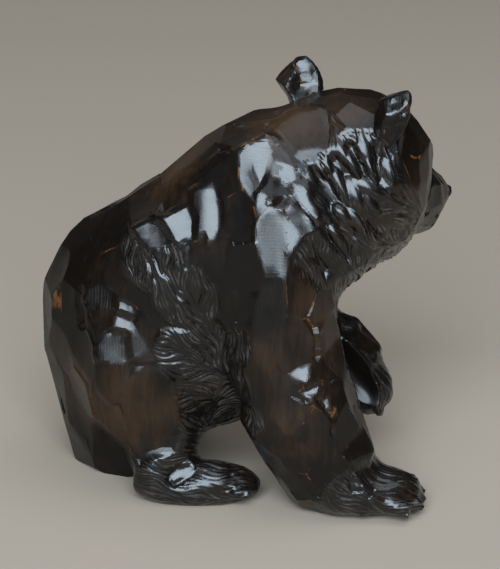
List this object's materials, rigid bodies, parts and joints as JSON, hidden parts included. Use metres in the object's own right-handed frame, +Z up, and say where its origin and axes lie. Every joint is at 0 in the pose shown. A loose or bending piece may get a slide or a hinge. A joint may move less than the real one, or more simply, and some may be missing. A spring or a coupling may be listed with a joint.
{
  "type": "carved wooden bear",
  "caption": "Sitting bear cub carved from one block of dark stained wood, with hewn flats, cut fur, a turned head and a raised forepaw.",
  "frame": {"origin": "on the standing surface, at the middle of the bear's bounding box", "axes": "+X the way the body faces, +Y to the bear's left, +Z up"},
  "size_m": [0.284, 0.194, 0.3],
  "materials": {
    "wood": "dark brown stain under a satin wax"
  },
  "bodies": {
    "root": {"bear": "wood"}
  },
  "joints": []
}
